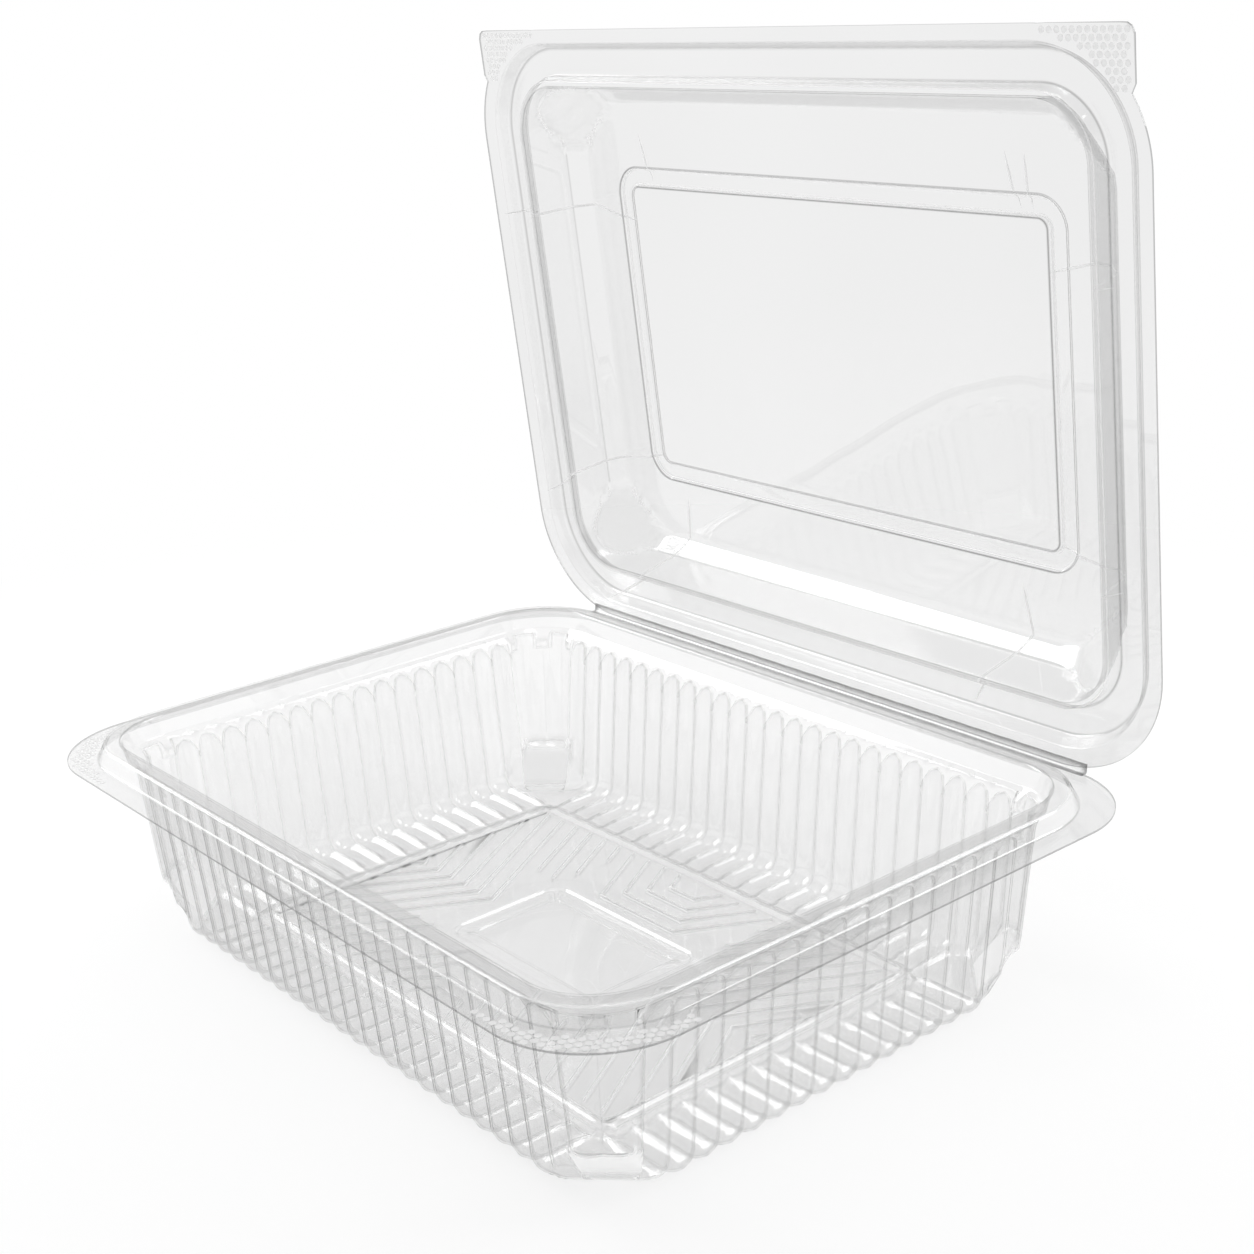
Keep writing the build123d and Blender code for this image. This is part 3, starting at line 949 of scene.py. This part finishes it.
def clear_plastic(name, tint):
    material = bpy.data.materials.new(name)
    material.use_nodes = True
    nodes = Nodes(material.node_tree)
    cloud = nodes.mapped(nodes.noise(18), 0.3, 0.7)
    weight = nodes.node("ShaderNodeLayerWeight")
    weight.inputs["Blend"].default_value = 0.5
    facing = weight.outputs["Facing"]

    # colour: the tint, clouded a little, with painted shade as dark lines in the grooves and along the
    # borders
    stops = [(place, (tint * share,) * 3) for place, share in TINT_AND_SHADE_BY_FACING] + [(1.0, EDGE_SHADE_TINT)]
    clouded = nodes.mixed_colour(1.0, nodes.ramp(facing, stops), nodes.mapped(cloud, low=0.985), "MULTIPLY")
    # the bend marks of the mesh choose where the painted shade and highlight lines go
    bend = nodes.node("ShaderNodeAttribute")
    bend.attribute_name = "bend"
    lines = []
    for start, end, strength in ((-0.25, PAINTED_SHADE_LINE, 0.66), (0.25, PAINTED_HIGHLIGHT_LINE, 0.9)):
        narrow = nodes.maths("POWER", nodes.mapped(bend.outputs["Fac"], start, end), 1.5)
        lines.append(nodes.maths("MULTIPLY", narrow, strength))
    lined = nodes.mixed_colour(lines[0], clouded, (0.3, 0.3, 0.3, 1))

    # shadow and diffuse rays pass with a lighter tint and without the mirror share and the painted white
    # highlight lines
    path = nodes.node("ShaderNodeLightPath")
    shaded = nodes.maths("MAXIMUM", path.outputs["Is Shadow Ray"], path.outputs["Is Diffuse Ray"])
    lit = nodes.maths("SUBTRACT", 1, shaded)
    clear = nodes.node("ShaderNodeBsdfTransparent")
    passed = nodes.mixed_colour(nodes.maths("MULTIPLY", shaded, 0.6), lined, (0.99, 0.99, 0.99, 1))
    nodes.link(passed, clear.inputs["Color"])

    # gloss, smudged in places and with a fine ripple
    gloss = nodes.node("ShaderNodeBsdfAnisotropic")
    gloss.inputs["Color"].default_value = (1, 1, 1, 1)
    nodes.link(nodes.mapped(cloud, low=-0.11, high=0.06), gloss.inputs["Roughness"])
    bump = nodes.node("ShaderNodeBump")
    bump.inputs["Strength"].default_value = 0.12
    bump.inputs["Distance"].default_value = 0.0006
    nodes.link(nodes.noise(55), bump.inputs["Height"])
    nodes.link(bump.outputs["Normal"], gloss.inputs["Normal"])
    mirror = nodes.mapped(nodes.maths("POWER", facing, 4.5), low=0.065, high=0.6)
    mirror_share = nodes.maths("MULTIPLY", mirror, lit)
    glossy = nodes.mixed_shader(mirror_share, clear.outputs["BSDF"], gloss.outputs["BSDF"])

    # painted highlight: white diffuse laid over the ridge lines that the bend marks give
    painted_highlight = nodes.node("ShaderNodeBsdfDiffuse")
    painted_highlight.inputs["Color"].default_value = (0.97, 0.97, 0.97, 1)
    body = nodes.mixed_shader(nodes.maths("MULTIPLY", lines[1], lit), glossy, painted_highlight.outputs["BSDF"])
    nodes.link(body, nodes.node("ShaderNodeOutputMaterial").inputs["Surface"])
    return material


tray_plastic = clear_plastic("TrayPlastic", 0.962)
lid_plastic = clear_plastic("LidPlastic", 0.932)
for piece in (tray_piece, tray_knurl, web_piece):
    piece.data.materials.append(tray_plastic)
for piece in (lid_piece, lid_knurl, lid_lines):
    piece.data.materials.append(lid_plastic)
for name, node_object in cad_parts.items():
    node_object.data.materials.clear()
    node_object.data.materials.append(lid_plastic if name == "lid" else tray_plastic)
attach(tray_piece, "tray")
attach(lid_piece, "lid")
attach(tray_knurl, "tray")
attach(lid_knurl, "lid")
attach(lid_lines, "lid")
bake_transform(web_piece)
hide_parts("tray")
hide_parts("lid")

# Floor
floor_mesh = bpy.data.meshes.new("Floor")
floor_mesh.from_pydata([(-30, -30, 0), (30, -30, 0), (30, 30, 0), (-30, 30, 0)], [], [(0, 1, 2, 3)])
floor = bpy.data.objects.new("Floor", floor_mesh)
bpy.context.scene.collection.objects.link(floor)


def floor_material():
    # matt paper near the object, which turns into plain white farther out for rays that the picture shows
    material = bpy.data.materials.new("StudioFloor")
    material.use_nodes = True
    nodes = Nodes(material.node_tree)
    paper = nodes.node("ShaderNodeBsdfDiffuse")
    paper.inputs["Color"].default_value = (0.97, 0.97, 0.97, 1)
    white = nodes.node("ShaderNodeEmission")
    white.inputs["Color"].default_value = (1, 1, 1, 1)
    length = nodes.node("ShaderNodeVectorMath")
    length.operation = "LENGTH"
    nodes.link(nodes.node("ShaderNodeTexCoord").outputs["Object"], length.inputs[0])
    far = nodes.node("ShaderNodeMapRange")
    far.interpolation_type = "SMOOTHSTEP"
    far.inputs["From Min"].default_value = 0.17
    far.inputs["From Max"].default_value = 0.36
    nodes.link(length.outputs["Value"], far.inputs["Value"])
    path = nodes.node("ShaderNodeLightPath")
    seen = nodes.maths("MAXIMUM", path.outputs["Is Camera Ray"], path.outputs["Is Glossy Ray"])
    seen = nodes.maths("MAXIMUM", seen, path.outputs["Is Transmission Ray"])
    share = nodes.maths("MULTIPLY", seen, far.outputs["Result"])
    mixed = nodes.mixed_shader(share, paper.outputs["BSDF"], white.outputs["Emission"])
    nodes.link(mixed, nodes.node("ShaderNodeOutputMaterial").inputs["Surface"])
    return material


floor_mesh.materials.append(floor_material())

# World: a white horizon under a soft grey studio ceiling
world = bpy.data.worlds.new("Studio")
bpy.context.scene.world = world
world.use_nodes = True
nodes = Nodes(world.node_tree)
height = nodes.node("ShaderNodeSeparateXYZ")
nodes.link(nodes.node("ShaderNodeTexCoord").outputs["Generated"], height.inputs["Vector"])
SKY = ((0.0, 1.0), (0.3, 1.0), (0.44, 0.7), (0.62, 0.36), (0.85, 0.56), (1.0, 0.8))
sky = nodes.node("ShaderNodeBackground")
shades = nodes.ramp(height.outputs["Z"], [(place, (shade,) * 3) for place, shade in SKY])
nodes.link(shades, sky.inputs["Color"])
nodes.link(sky.outputs["Background"], nodes.node("ShaderNodeOutputWorld").inputs["Surface"])


def lamp(name, place, aim, size, power):
    light = bpy.data.lights.new(name, "AREA")
    light.shape = "RECTANGLE"
    light.size, light.size_y = size
    light.energy = power
    thing = bpy.data.objects.new(name, light)
    bpy.context.scene.collection.objects.link(thing)
    thing.location = place
    thing.rotation_mode = "QUATERNION"
    thing.rotation_quaternion = (Vector(aim) - Vector(place)).to_track_quat("-Z", "Y")


lamp("Overhead", (-0.1, 0.2, 1.1), (0, 0, 0.05), (0.36, 0.36), 1.1)
lamp("LeftBox", (-0.8, -0.3, 0.62), (0, 0, 0.03), (0.5, 0.66), 4.1)
lamp("RightBox", (0.45, 0.66, 0.66), (0, 0, 0.03), (0.4, 0.56), 2.8)

# Camera
azimuth, elevation, roll = radians(50.51), radians(18.58), radians(-2.57)
look = Vector((-sin(azimuth) * cos(elevation), cos(azimuth) * cos(elevation), -sin(elevation)))
side = Vector((cos(azimuth), sin(azimuth), 0))
up = side.cross(look)
x_axis = side * cos(roll) + up * sin(roll)
y_axis = -side * sin(roll) + up * cos(roll)
lens = bpy.data.cameras.new("Camera")
lens.sensor_width = 36
lens.lens = 55.45
lens.clip_start = 0.01
lens.clip_end = 200
camera = bpy.data.objects.new("Camera", lens)
bpy.context.scene.collection.objects.link(camera)
eye = Vector((0.29286, -0.22221, 0.19475))
turned = Matrix((x_axis, y_axis, -look)).transposed().to_4x4()
camera.matrix_world = Matrix.Translation(eye) @ turned
bpy.context.scene.camera = camera

bpy.context.scene.view_settings.view_transform = "Standard"
bpy.context.scene.cycles.transparent_max_bounces = 36
bpy.context.scene.cycles.max_bounces = 5
bpy.context.scene.cycles.diffuse_bounces = 1
bpy.context.scene.cycles.glossy_bounces = 1
